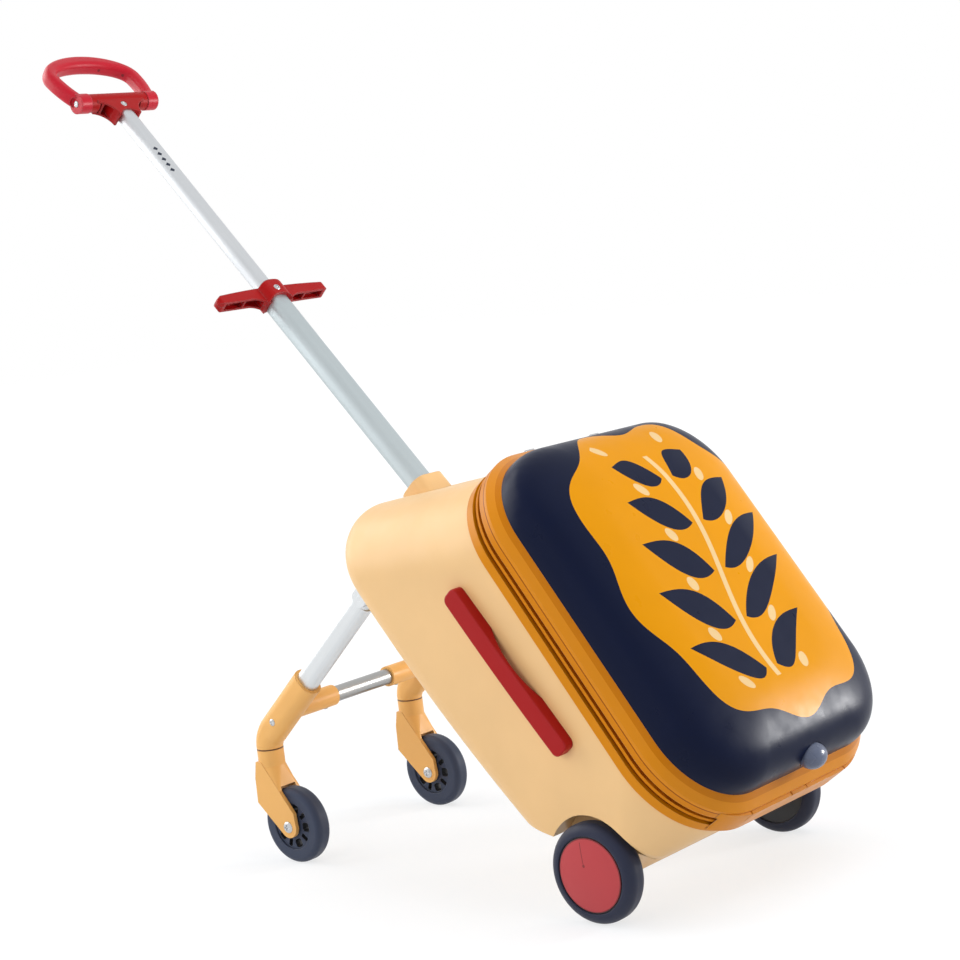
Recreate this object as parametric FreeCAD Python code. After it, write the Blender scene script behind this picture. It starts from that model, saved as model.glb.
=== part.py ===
import FreeCAD
import Part
import math
import os

# Ride on suitcase, standing on its four wheels as it is ridden.
# Millimetres and degrees. X is across, Y is forward, Z is up.
# Lengths along Y are first taken from the rear axle; the finished pieces are
# then moved so that the origin lies on the ground under the middle of the whole.
origin_ahead_of_axle = 312.7

# Rear wheels and their axle
rear_wheel_r = 49.0
rear_wheel_width = 26.0
rear_wheel_x = 153.0
rear_rim_r = 37.5
rear_shoulder_r = 10.0
hub_cap_r = 36.0
hub_cap_rise = 5.0
rear_axle_r = 5.0
axle_beam_r = 16.0
arch_r = 56.5
arch_floor_x = 132.0

# Case: a tub whose rim plane leans back from the ground by seam_angle.
# In the case's own frame X is across, S runs up the rim plane and N stands out of it.
seam_angle = 54.3
case_y = 16.0
case_z = 248.6
rim_half_width = 166.0
rim_half_length = 204.0
rim_corner_r = 90.0
wall = 3.0
side_taper = 5.0
top_lean = 26.5
bottom_lean = 9.5
loft_depth = 230.0
deep_corner_high_r = 78.0
mid_corner_low_r = 42.0
mid_corner_depth = 45.0
deep_corner_low_r = 34.0
back_depth_low = 156.0
back_depth_mid = 180.0
back_depth_high = 188.0
back_depth_step = 166.0
back_depth_mid_s = 55.0
back_edge_r = 28.0
seat_land = 0.05
seat_half_width = 62.0
seat_from = 15.0
seat_to = 88.0
heel_s = -196.0
heel_n = -51.0
heel_angle = 43.9

# Rims, seal and lid, as heights N above the tub's edge
rim_proud = 2.5
rim_land = 7.0
body_rim_height = 10.0
seal_height = 11.7
seal_recess = 2.0
seal_ridge_proud = 1.5
seal_ridge_height = 3.4
lid_gap = 0.3
lid_rim_side_height = 11.0
lid_rim_height = 24.8
lid_half_width = 160.0
lid_half_length = 193.5
lid_corner_r = 78.0
lid_land = 6.0
dome_rise = 47.0

# Lid hinges, latch cover and latch knob
lid_hinge_x = 52.0
lid_knuckle_r = 3.4
lid_knuckle_width = 14.0
lid_pin_r = 1.5
hinge_leaf = 1.6
latch_cover_draw = 6.0
latch_cover = 3.6
latch_slits = ((13.0, 25.0), (80.0, 18.0))
latch_slit_width = 1.6
latch_cover_low_n = 3.0
latch_cover_high_n = 31.0
latch_knob_r = 16.5
latch_knob_height = 25.0
latch_knob_tip = 13.0
latch_knob_n = 66.0
latch_knob_lean = 30.0
latch_knob_sink = 3.0
latch_knob_length = 30.0
latch_knob_gap = 0.5
latch_knob_travel = 4.0
latch_cup_wall = 3.0

# Side carry handles
carry_length = 192.0
carry_width = 22.0
carry_rise = 12.5
carry_gap = 8.5
carry_end_rise = 11.0
carry_edge_r = 1.5
carry_corner_r = 7.0
carry_foot = 54.0
carry_s = 27.0
carry_n = -48.0
carry_turn = -3.6
carry_screw_r = 2.2
carry_screw_head_r = 4.0
carry_screw_length = 10.0

# Telescopic handle, measured along its tube from where its axis meets the ground
tube_angle = 47.7
tube_foot_y = -50.0
lower_tube_width = 29.0
lower_tube_depth = 22.0
lower_tube_round = 9.0
lower_tube_wall = 1.6
upper_tube_width = 22.0
upper_tube_depth = 15.6
upper_tube_round = 6.6
upper_tube_wall = 1.5
slide_gap = 0.3
guide_gap = 1.5
guide_wall = 1.5
guide_foot_at = 132.0
guide_top_at = 519.0
guide_foot_length = 24.0
bush_length = 24.0
bush_lip = 4.0
glide_length = 30.0
collar_at = 533.0
collar_width = 46.0
collar_depth = 38.0
collar_round = 13.0
bar_at = 821.0
bar_half_span = 82.0
bar_tip_r = 5.5
bar_arm_depth = 14.0
bar_collar_width = 38.0
bar_collar_depth = 30.0
bar_collar_round = 12.0
bar_collar_below = 14.0
bar_collar_above = 13.0
bar_cap = 3.0
bar_collar_crown = 5.0
bar_collar_arch = 6.0
bar_rib = 2.2
bar_pocket_top = 1.5
bar_pockets = ((21.0, 45.0), (47.0, 74.0))
grip_at = 1147.0
grip_boss_x = 49.5
grip_boss_r = 11.5
grip_boss_width = 15.0
grip_socket_length = 17.0
grip_socket_wall = 5.0
grip_socket_arch = 7.0
grip_base_r = 10.6
base_screw_sink = 0.8
base_screw_drop = 13.0
grip_skirt_share = 0.82
grip_pockets = ((18.0, 26.0), (28.0, 30.2))
loop_height = 84.0
loop_bar = 19.0
loop_half_width = 68.0
loop_widest = 45.0
loop_edge_r = 6.4
loop_arm = 15.0
loop_depth = 18.0
loop_tilt = -6.0
loop_screw_r = 3.0
running_gap = 0.05

# Front leg frame, square to the telescopic tube
leg_x = 113.0
leg_at = 454.0
leg_width = 19.0
leg_depth = 25.0
leg_round = 8.5
leg_wall = 1.6
leg_pin_off = 57.5
leg_pin_r = 3.0
leg_knuckle_r = 9.5
leg_tube_start = 67.0
leg_sleeve_start = 199.0
leg_sleeve_depth = 47.0
leg_ear = 3.5
leg_ear_gap = 0.3
leg_ear_r = 9.5
leg_plate_half_height = 17.0
bracket_wall = 3.75
elbow_r = 26.0
cross_tube_r = 8.75
cross_tube_wall = 1.5
cross_tube_off = 249.0
cross_tube_at = 454.0
cross_socket_r = 11.5
cross_socket_end_x = 44.0
swivel_off = 296.7
socket_screw_x = 57.0
socket_screw_r = 3.0

# Casters
caster_wheel_r = 41.5
caster_wheel_width = 20.0
caster_rim_r = 26.0
caster_shoulder_r = 6.5
caster_hub_r = 9.0
caster_spokes = 10
caster_window = 5.0
caster_window_wide = 10.0
caster_window_in = 15.0
caster_window_out = 24.4
caster_trail = 29.0
caster_swivel_z = 124.5
caster_head_r = 14.6
caster_head_height = 18.0
caster_gap = 0.3
fork_arm = 4.5
fork_side_gap = 0.7
fork_end_r = 12.0
fork_crown_room = 2.5
caster_axle_r = 4.0
caster_bolt_head_r = 6.5
bolt_head = 2.5
swivel_pin_r = 5.0
swivel_pin_in_fork = 16.0
swivel_pin_in_bracket = 20.0
screw_head_r = 4.0
screw_head = 1.6


def vec(x, y, z):
    return FreeCAD.Vector(x, y, z)


X_AXIS = vec(1, 0, 0)
Y_AXIS = vec(0, 1, 0)
Z_AXIS = vec(0, 0, 1)


def turn(axis, angle):
    return FreeCAD.Rotation(axis, angle)


def placed(shape, placement):
    moved = shape.copy()
    moved.Placement = placement.multiply(moved.Placement)
    return moved


def shifted(shape, x, y, z):
    return placed(shape, FreeCAD.Placement(vec(x, y, z), turn(X_AXIS, 0)))


def mirrored(shape):
    """The same piece on the other side of the case."""
    return shape.mirror(vec(0, 0, 0), X_AXIS)


def tan(angle):
    return math.tan(math.radians(angle))


def sin(angle):
    return math.sin(math.radians(angle))


def cos(angle):
    return math.cos(math.radians(angle))


CASE = FreeCAD.Placement(vec(0, case_y, case_z), turn(X_AXIS, seam_angle))
TUBE = FreeCAD.Placement(vec(0, tube_foot_y, 0), turn(X_AXIS, tube_angle - 90))
axle_z = rear_wheel_r


def outline(half_width, low, high, r_low, r_high, z):
    """Closed rounded rectangle at height z, with its own corners low and high."""
    corners = (
        (half_width - r_high, high - r_high, r_high, 0),
        (r_high - half_width, high - r_high, r_high, 90),
        (r_low - half_width, low + r_low, r_low, 180),
        (half_width - r_low, low + r_low, r_low, 270),
    )
    arcs = []
    for x, y, r, start in corners:
        arcs.append([vec(x + r * cos(a), y + r * sin(a), z) for a in (start, start + 45, start + 90)])
    edges = []
    for arc, following in zip(arcs, arcs[1:] + arcs[:1]):
        edges.append(Part.Arc(*arc).toShape())
        edges.append(Part.LineSegment(arc[2], following[0]).toShape())
    return Part.Wire(edges)


def even_outline(half_width, half_length, r, z):
    return outline(half_width, -half_length, half_length, r, r, z)


def bar(width, depth, r, z0, z1, grow=0.0):
    """Straight bar of flat oval section from z0 to z1."""
    wire = even_outline(width / 2 + grow, depth / 2 + grow, r + grow, z0)
    return Part.Face(wire).extrude(vec(0, 0, z1 - z0))


def rod(r, length, start, axis):
    return Part.makeCylinder(r, length, start, axis)


def cross_rod(r, x0, x1, y, z):
    """Round rod along X from x0 to x1."""
    return rod(r, x1 - x0, vec(x0, y, z), X_AXIS)


def block(x0, x1, y0, y1, z0, z1):
    return Part.makeBox(x1 - x0, y1 - y0, z1 - z0, vec(x0, y0, z0))


def plate(points, x0, x1):
    """Flat plate of a YZ outline between x0 and x1."""
    corners = [vec(x0, y, z) for y, z in points]
    return Part.Face(Part.makePolygon(corners + corners[:1])).extrude(vec(x1 - x0, 0, 0))


def ring_of_revolution(half_width, r_in, r_out, edge_in, edge_out):
    """Ring about X with rounded edges, such as a tyre or a wheel disc."""
    section = Part.Face(outline(half_width, r_in, r_out, edge_in, edge_out, 0))
    return section.revolve(vec(0, 0, 0), X_AXIS, 360)


def fuse(*shapes):
    return shapes[0].multiFuse(list(shapes[1:])).removeSplitter()


# Case

def circle_through(a, b, c):
    """Centre and radius of the circle through three points."""
    d = 2 * (a[0] * (b[1] - c[1]) + b[0] * (c[1] - a[1]) + c[0] * (a[1] - b[1]))
    squares = [p[0] ** 2 + p[1] ** 2 for p in (a, b, c)]
    x = (squares[0] * (b[1] - c[1]) + squares[1] * (c[1] - a[1]) + squares[2] * (a[1] - b[1])) / d
    y = (squares[0] * (c[0] - b[0]) + squares[1] * (a[0] - c[0]) + squares[2] * (b[0] - a[0])) / d
    return x, y, math.hypot(a[0] - x, a[1] - y)


def tub(inset):
    """The tub's outer form, or the room inside it at a wall's inset, in the case's frame."""
    sections = []
    corner_low = (
        (inset, rim_corner_r),
        (-mid_corner_depth, mid_corner_low_r),
        (-loft_depth, deep_corner_low_r),
    )
    for n, r_low in corner_low:
        share = -n / loft_depth
        r_high = rim_corner_r + (deep_corner_high_r - rim_corner_r) * share - inset
        r_low = r_low - inset
        half = rim_half_width + n * tan(side_taper) - inset
        low = -rim_half_length - n * tan(bottom_lean) + inset
        high = rim_half_length - n * tan(top_lean) - inset
        sections.append(outline(half, low, high, r_low, r_high, n))
    form = Part.makeLoft(sections, True, True)
    s, n, r = circle_through(
        (back_depth_mid_s - back_depth_step, -back_depth_low),
        (back_depth_mid_s, -back_depth_mid),
        (back_depth_mid_s + back_depth_step, -back_depth_high),
    )
    reach = 2 * rim_half_width
    bowed_back = cross_rod(r - inset, -reach, reach, s, n)
    form = form.common(bowed_back)
    below_heel = block(-reach, reach, -reach, reach, -reach, 0)
    heel = FreeCAD.Placement(
        vec(0, heel_s + inset * sin(heel_angle), heel_n + inset * cos(heel_angle)),
        turn(X_AXIS, -heel_angle),
    )
    form = form.cut(placed(below_heel, heel))
    back = max(form.Faces, key=lambda face: face.Area if isinstance(face.Surface, Part.Cylinder) else 0)
    return form.makeFillet(back_edge_r - inset, back.OuterWire.Edges)


seat_face = FreeCAD.Placement(vec(0, rim_half_length - seat_land, 0), turn(X_AXIS, top_lean - 90))
above_seat = block(
    -seat_half_width, seat_half_width, seat_from / cos(top_lean), seat_to / cos(top_lean), 0, rim_half_length
)
tub_outer = placed(tub(0).cut(placed(above_seat, seat_face)), CASE)
tub_room = placed(tub(wall), CASE)


def arch(grow):
    """Round wheel recesses in both sides of the tub."""
    reach = 2 * rim_half_width
    right = cross_rod(arch_r + grow, arch_floor_x - grow, reach, 0, axle_z)
    return right.fuse(mirrored(right))


guide_width = lower_tube_width + 2 * guide_gap
guide_depth = lower_tube_depth + 2 * guide_gap
guide_round = lower_tube_round + guide_gap


def guide_bar(z0, z1, grow=0.0):
    return placed(bar(guide_width, guide_depth, guide_round, z0, z1, guide_wall + grow), TUBE)


def lower_bar(z0, z1, grow=0.0):
    return placed(bar(lower_tube_width, lower_tube_depth, lower_tube_round, z0, z1, grow), TUBE)


def upper_bar(z0, z1, grow=0.0):
    return placed(bar(upper_tube_width, upper_tube_depth, upper_tube_round, z0, z1, grow), TUBE)


tube_hole = guide_bar(guide_top_at - 2 * collar_depth, collar_at)
body_shell = tub_outer.cut(tub_room.cut(arch(wall))).cut(arch(0)).cut(tube_hole)


def rim_ring(proud, land, n0, n1):
    """Ring that follows the rim, from land inside the tub's edge to proud outside it."""
    height = n1 - n0
    outer = Part.Face(even_outline(rim_half_width + proud, rim_half_length + proud, rim_corner_r + proud, n0))
    inner = Part.Face(even_outline(rim_half_width - land, rim_half_length - land, rim_corner_r - land, n0))
    return outer.extrude(vec(0, 0, height)).cut(inner.extrude(vec(0, 0, height)))


seal_top_n = body_rim_height + seal_height
ridge_n = body_rim_height + (seal_height - seal_ridge_height) / 2
lid_n = seal_top_n + lid_gap
lid_bevel_n = lid_n + lid_rim_side_height
dome_n = lid_n + lid_rim_height
dome_top_n = dome_n + dome_rise

body_rim = placed(rim_ring(rim_proud, rim_land, 0, body_rim_height), CASE)
seal = fuse(
    rim_ring(-seal_recess, rim_land, body_rim_height, seal_top_n),
    rim_ring(seal_ridge_proud, rim_land, ridge_n, ridge_n + seal_ridge_height),
)
rim_seal = placed(seal, CASE)

tube_collar = placed(
    bar(collar_width, collar_depth, collar_round, guide_top_at - 2 * collar_depth, collar_at), TUBE
)
tube_collar = tube_collar.cut(tub_outer).cut(guide_bar(guide_foot_at, guide_top_at + bush_lip))
tube_collar = tube_collar.cut(lower_bar(guide_foot_at, collar_at, slide_gap))

guide_tube = guide_bar(guide_foot_at, guide_top_at)
guide_tube = guide_tube.cut(guide_bar(guide_foot_at, guide_top_at, -guide_wall))
guide_bush = fuse(
    guide_bar(guide_top_at - bush_length, guide_top_at, -guide_wall),
    guide_bar(guide_top_at, guide_top_at + bush_lip),
)
guide_bush = guide_bush.cut(lower_bar(guide_foot_at, collar_at, slide_gap))
guide_foot = placed(
    bar(guide_width, guide_depth, guide_round, 0, guide_foot_at + guide_foot_length, 3 * guide_wall), TUBE
)
guide_foot = guide_foot.common(tub_room).cut(guide_bar(guide_foot_at, collar_at))


def strap_round(radius, top):
    """Large cylinder across the strap whose outermost line stands at the given height."""
    height = 2 * carry_width
    tool = Part.makeCylinder(radius, height, vec(0, 0, -height / 2))
    return placed(tool, FreeCAD.Placement(vec(top - radius, 0, 0), turn(Z_AXIS, 180)))


def carry_handle():
    """Bowed strap that stands off the side wall, with both feet on the wall, right side."""
    half = carry_length / 2
    gap_half = half - carry_foot
    plan = Part.Face(even_outline(carry_width / 2, half, carry_corner_r, 0))
    strap = placed(plan.extrude(vec(0, 0, 2 * carry_rise)), FreeCAD.Placement(vec(0, 0, 0), turn(Y_AXIS, 90)))
    bow = carry_rise - carry_end_rise
    bow_r = (half**2 + bow**2) / (2 * bow)
    gap_r = (gap_half**2 + carry_gap**2) / (2 * carry_gap)
    strap = strap.common(strap_round(bow_r, carry_rise))
    raised = [edge for edge in strap.Edges if edge.BoundBox.XMin > carry_end_rise / 2]
    edges = [edge for edge in raised if edge.BoundBox.XMax > carry_end_rise - 1]
    strap = strap.makeFillet(carry_edge_r, edges)
    return strap.cut(strap_round(gap_r, carry_gap))


carry_wall_x = rim_half_width + carry_n * tan(side_taper)
carry_frame = CASE.multiply(
    FreeCAD.Placement(vec(carry_wall_x, carry_s, carry_n), turn(Y_AXIS, side_taper))
).multiply(FreeCAD.Placement(vec(0, 0, 0), turn(X_AXIS, carry_turn)))
right_carry_handle = placed(carry_handle(), carry_frame)
carry_screw_y = carry_length / 2 - carry_foot * 0.62
carry_screws = []
for side in (-1, 1):
    shank = cross_rod(carry_screw_r, -wall, carry_screw_length - 2 * wall, side * carry_screw_y, 0)
    head = cross_rod(carry_screw_head_r, -wall - screw_head, -wall, side * carry_screw_y, 0)
    carry_screws.append(placed(shank.fuse(head), carry_frame))
for screw in carry_screws:
    right_carry_handle = right_carry_handle.cut(screw)
    body_shell = body_shell.cut(screw).cut(mirrored(screw))
carry_handle_screws = Part.makeCompound(carry_screws + [mirrored(screw) for screw in carry_screws])

# Rear axle and wheels

beam_end_x = arch_floor_x - running_gap * 10
beam_rise = arch_r + axle_beam_r
axle_beam = fuse(
    cross_rod(axle_beam_r, -beam_end_x, beam_end_x, 0, axle_z),
    plate(
        (
            (-axle_beam_r * 0.86, axle_z - axle_beam_r * 0.5),
            (axle_beam_r * 0.86, axle_z - axle_beam_r * 0.5),
            (axle_beam_r * 3.2, axle_z + beam_rise / 2),
            (-axle_beam_r * 3.2, axle_z + beam_rise / 2),
        ),
        -beam_end_x,
        beam_end_x,
    ),
)
axle_beam = axle_beam.cut(tub_outer)
axle_end_x = rear_wheel_x + rear_wheel_width / 2 - rear_axle_r
rear_axle = cross_rod(rear_axle_r, -axle_end_x, axle_end_x, 0, axle_z)
axle_beam = axle_beam.cut(rear_axle)


def at_rear_wheel(shape):
    return shifted(shape, rear_wheel_x, 0, axle_z)


rear_half = rear_wheel_width / 2
rear_disc_half = rear_half - 2
right_rear_tyre = at_rear_wheel(ring_of_revolution(rear_half, rear_rim_r, rear_wheel_r, 1.0, rear_shoulder_r))
hub = ring_of_revolution(rear_disc_half, rear_axle_r + running_gap, rear_rim_r, 0.5, 0.5)
hub_inner_x = arch_floor_x - rear_wheel_x
hub_boss = cross_rod(2 * rear_axle_r, hub_inner_x, -rear_disc_half + 1, 0, 0)
hub_boss = hub_boss.cut(cross_rod(rear_axle_r + running_gap, hub_inner_x, 0, 0, 0))
right_rear_hub = at_rear_wheel(hub.fuse(hub_boss))
cap_arc = (
    vec(rear_disc_half + hub_cap_rise, 0, 0),
    vec(rear_disc_half + hub_cap_rise * 0.82, hub_cap_r / 2, 0),
    vec(rear_disc_half + 1.4, hub_cap_r, 0),
)
cap_edges = (
    Part.LineSegment(vec(rear_disc_half, 0, 0), cap_arc[0]).toShape(),
    Part.Arc(*cap_arc).toShape(),
    Part.LineSegment(cap_arc[2], vec(rear_disc_half, hub_cap_r, 0)).toShape(),
    Part.LineSegment(vec(rear_disc_half, hub_cap_r, 0), vec(rear_disc_half, 0, 0)).toShape(),
)
right_hub_cap = at_rear_wheel(Part.Face(Part.Wire(cap_edges)).revolve(vec(0, 0, 0), X_AXIS, 360))

# Lid

proud_half_width = rim_half_width + rim_proud
proud_half_length = rim_half_length + rim_proud
proud_corner_r = rim_corner_r + rim_proud
lid_rim_form = Part.makeLoft(
    [
        even_outline(proud_half_width, proud_half_length, proud_corner_r, lid_n),
        even_outline(proud_half_width, proud_half_length, proud_corner_r, lid_bevel_n),
        even_outline(lid_half_width, lid_half_length, lid_corner_r, dome_n),
    ],
    True,
    True,
)
lid_mouth = Part.Face(
    even_outline(lid_half_width - lid_land, lid_half_length - lid_land, lid_corner_r - lid_land, lid_n)
)
lid_rim_form = lid_rim_form.cut(lid_mouth.extrude(vec(0, 0, lid_rim_height)))


def dome(inset, base):
    """The lid's crown as a loft of outlines that close in towards the top."""
    steps = ((0.0, 0.0), (0.22, 0.6), (0.45, 4.0), (0.66, 12.0), (0.82, 26.0), (0.93, 48.0), (1.0, 84.0))
    sections = []
    for rise, draw_in in steps:
        n = base + rise * (dome_top_n - inset - base)
        r = lid_corner_r - inset - 0.5 * draw_in
        shrink = inset + draw_in
        sections.append(even_outline(lid_half_width - shrink, lid_half_length - shrink, r, n))
    return Part.makeLoft(sections, True, False)


knob_in = latch_knob_length - latch_knob_tip - 1
knob_out = knob_in - latch_knob_length
KNOB = FreeCAD.Placement(
    vec(0, latch_knob_sink - lid_half_length, latch_knob_n), turn(X_AXIS, -latch_knob_lean)
)


def oval_rod(grow, y0, y1):
    """Rod of the knob's oval section along its way in, grown all round."""
    oval = Part.Ellipse(vec(0, 0, 0), latch_knob_r + grow, latch_knob_height / 2 + grow)
    form = Part.Face(Part.Wire(oval.toShape())).extrude(vec(0, 0, y1 - y0))
    return placed(placed(form, FreeCAD.Placement(vec(0, y0, 0), turn(X_AXIS, -90))), KNOB)


knob_hole = oval_rod(latch_knob_gap, knob_out, knob_out + 2 * latch_knob_length)
lid_shell_form = dome(0, dome_n).cut(dome(wall, dome_n - wall)).cut(knob_hole)

cup_end = knob_in + latch_knob_travel + latch_cup_wall + 1
cup = oval_rod(latch_knob_gap + latch_cup_wall, knob_out, cup_end)
cup_bore = oval_rod(latch_knob_gap, knob_out, cup_end - latch_cup_wall)
latch_cup = placed(cup.cut(cup_bore).common(dome(wall, dome_n - wall)).cut(lid_rim_form), CASE)

knob_tip = Part.Ellipse(vec(0, 0, 0), latch_knob_r, latch_knob_tip)
knob_back = latch_knob_length - latch_knob_tip
knob_edges = (
    Part.ArcOfEllipse(knob_tip, -math.pi / 2, 0).toShape(),
    Part.LineSegment(vec(latch_knob_r, 0, 0), vec(latch_knob_r, knob_back, 0)).toShape(),
    Part.LineSegment(vec(latch_knob_r, knob_back, 0), vec(0, knob_back, 0)).toShape(),
    Part.LineSegment(vec(0, knob_back, 0), vec(0, -latch_knob_tip, 0)).toShape(),
)
knob = Part.Face(Part.Wire(knob_edges)).revolve(vec(0, 0, 0), Y_AXIS, 360)
flatten = FreeCAD.Matrix()
flatten.A33 = latch_knob_height / (2 * latch_knob_r)
knob = knob.transformGeometry(flatten)
latch_knob = placed(placed(shifted(knob, 0, knob_out + latch_knob_tip, 0), KNOB), CASE)

cover_height = latch_cover_high_n - latch_cover_low_n
cover_outline = even_outline(
    rim_half_width - latch_cover_draw,
    rim_half_length + rim_proud + slide_gap + latch_cover,
    rim_corner_r,
    latch_cover_low_n,
)
cover_form = Part.Face(cover_outline).extrude(vec(0, 0, cover_height))
latch_end = block(-rim_half_width, rim_half_width, -2 * rim_half_length, 0, -lid_n, 2 * lid_n)
cover_form = cover_form.common(latch_end)
cover_room = even_outline(
    rim_half_width + rim_proud + slide_gap,
    rim_half_length + rim_proud + slide_gap,
    rim_corner_r + rim_proud + slide_gap,
    latch_cover_low_n,
)
cover = cover_form.cut(Part.Face(cover_room).extrude(vec(0, 0, cover_height)))
cover_seat = rim_ring(rim_proud + slide_gap, -rim_proud, lid_n, latch_cover_high_n).common(cover_form)
slits = []
for x, low_n in latch_slits:
    for side in (-1, 1):
        x0 = side * x - latch_slit_width / 2
        slits.append(block(x0, x0 + latch_slit_width, -2 * rim_half_length, 0, low_n, 2 * lid_n))
latch_cover_piece = placed(fuse(cover, cover_seat).cut(Part.makeCompound(slits)), CASE)

# Lid hinges at the top end

hinge_s = rim_half_length + rim_proud + lid_knuckle_r
hinge_n = body_rim_height + seal_height / 2
rim_face_s = rim_half_length + rim_proud


def hinge_leaf_form(x0, x1, n0, n1):
    """Leaf flat on the rim's end face with its knuckle about the pin."""
    leaf = block(x0, x1, rim_face_s, rim_face_s + hinge_leaf, n0, n1)
    knuckle = cross_rod(lid_knuckle_r, x0, x1, hinge_s, hinge_n)
    web = block(x0, x1, rim_face_s, hinge_s, min(n1, hinge_n), max(n0, hinge_n))
    return leaf, knuckle, web


body_leaves = []
lid_leaves = []
pins = []
half_knuckle = lid_knuckle_width / 2
for side in (-1, 1):
    x = side * lid_hinge_x
    pin = cross_rod(lid_pin_r, x - 2 * half_knuckle, x + 2 * half_knuckle, hinge_s, hinge_n)
    pins.append(pin)
    leaf, knuckle, web = hinge_leaf_form(x - half_knuckle, x + half_knuckle, lid_n, lid_bevel_n)
    bore = cross_rod(lid_pin_r + running_gap, x - half_knuckle, x + half_knuckle, hinge_s, hinge_n)
    lid_leaves.append(fuse(leaf, knuckle, web).cut(bore))
    near = x - 2 * half_knuckle
    far = x + 2 * half_knuckle
    leaf = block(near, far, rim_face_s, rim_face_s + hinge_leaf, 0, body_rim_height)
    outer_knuckles = []
    for x0, x1 in ((near, x - half_knuckle - slide_gap), (x + half_knuckle + slide_gap, far)):
        outer_knuckles += hinge_leaf_form(x0, x1, 0, body_rim_height)[1:]
    body_leaves.append(fuse(leaf, *outer_knuckles).cut(pin))
body_hinge_leaves = placed(Part.makeCompound(body_leaves), CASE)
lid_hinge_leaves = placed(Part.makeCompound(lid_leaves), CASE)
lid_hinge_pins = placed(Part.makeCompound(pins), CASE)

lid_rim = placed(lid_rim_form, CASE)
lid_shell = placed(lid_shell_form, CASE)

# Telescopic handle

lower_end_at = guide_top_at - bush_length - slide_gap - glide_length
lower_top_at = bar_at + bar_collar_above - bar_cap
lower_tube = lower_bar(lower_end_at, lower_top_at)
lower_tube = lower_tube.cut(lower_bar(lower_end_at, lower_top_at, -lower_tube_wall))
lower_glide = placed(
    bar(lower_tube_width, lower_tube_depth, lower_tube_round, lower_end_at, lower_end_at + glide_length,
        guide_gap - slide_gap),
    TUBE,
).cut(lower_bar(lower_end_at, lower_top_at))


def arch_tool(half_chord, rise, top):
    """Cylinder through the handle's depth whose arc has this chord and rise, with its crown at top."""
    r = (half_chord**2 + rise**2) / (2 * rise)
    reach = 2 * bar_collar_depth
    return rod(r, 2 * reach, vec(0, -reach, top - r), Y_AXIS)


def crossbar():
    """T grip: two tapering arms on a collar that clasps the lower tube's end."""
    low = -bar_collar_below
    high = bar_collar_above
    inner_x = bar_collar_width / 2
    foot_x = inner_x * 0.9
    flare_x = inner_x * 1.8
    arms = (
        Part.LineSegment(vec(-bar_half_span, 0, -bar_tip_r), vec(-bar_half_span, 0, bar_tip_r)).toShape(),
        Part.Arc(
            vec(-bar_half_span, 0, bar_tip_r), vec(0, 0, high * 0.7), vec(bar_half_span, 0, bar_tip_r)
        ).toShape(),
        Part.LineSegment(vec(bar_half_span, 0, bar_tip_r), vec(bar_half_span, 0, -bar_tip_r)).toShape(),
        Part.LineSegment(vec(bar_half_span, 0, -bar_tip_r), vec(flare_x, 0, -bar_tip_r)).toShape(),
        Part.Arc(
            vec(flare_x, 0, -bar_tip_r), vec(inner_x * 1.25, 0, low * 0.62), vec(foot_x, 0, low)
        ).toShape(),
        Part.LineSegment(vec(foot_x, 0, low), vec(-foot_x, 0, low)).toShape(),
        Part.Arc(
            vec(-foot_x, 0, low), vec(-inner_x * 1.25, 0, low * 0.62), vec(-flare_x, 0, -bar_tip_r)
        ).toShape(),
        Part.LineSegment(vec(-flare_x, 0, -bar_tip_r), vec(-bar_half_span, 0, -bar_tip_r)).toShape(),
    )
    arm = Part.Face(Part.Wire(arms)).extrude(vec(0, bar_arm_depth, 0))
    arm = shifted(arm, 0, -bar_arm_depth / 2, 0)
    tips = [edge for edge in arm.Edges if abs(abs(edge.CenterOfMass.x) - bar_half_span) < 1]
    arm = arm.makeFillet(bar_tip_r * 0.88, tips)
    collar = bar(bar_collar_width, bar_collar_depth, bar_collar_round, low, high)
    collar = collar.common(arch_tool(bar_collar_width / 2, bar_collar_crown, high))
    collar = collar.cut(arch_tool(lower_tube_width / 2 + bar_rib, bar_collar_arch, low + bar_collar_arch))
    pockets = []
    for x0, x1 in bar_pockets:
        for side in (-1, 1):
            a = min(side * x0, side * x1)
            b = max(side * x0, side * x1)
            half = bar_arm_depth / 2 - bar_rib
            pockets.append(block(a, b, -half, half, 2 * low, bar_pocket_top))
    whole = fuse(arm.cut(Part.makeCompound(pockets)), collar)
    return placed(shifted(whole, 0, 0, bar_at), TUBE)


crossbar_form = crossbar().cut(lower_bar(lower_end_at, lower_top_at))
crossbar_form = crossbar_form.cut(upper_bar(lower_end_at, grip_at, slide_gap))
half_reach = bar_half_span
front_half = placed(
    block(-2 * bar_half_span, 2 * bar_half_span, 0, bar_half_span, bar_at - half_reach, bar_at + half_reach),
    TUBE,
)
crossbar_front = crossbar_form.common(front_half)
crossbar_rear = crossbar_form.cut(front_half)
bar_screw_seats = ((0, bar_collar_depth / 2),)
bar_screw_list = []
for x, depth in bar_screw_seats:
    bar_screw_list.append(placed(rod(screw_head_r, screw_head, vec(x, -depth, bar_at), -Y_AXIS), TUBE))
crossbar_screws = Part.makeCompound(bar_screw_list)

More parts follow.
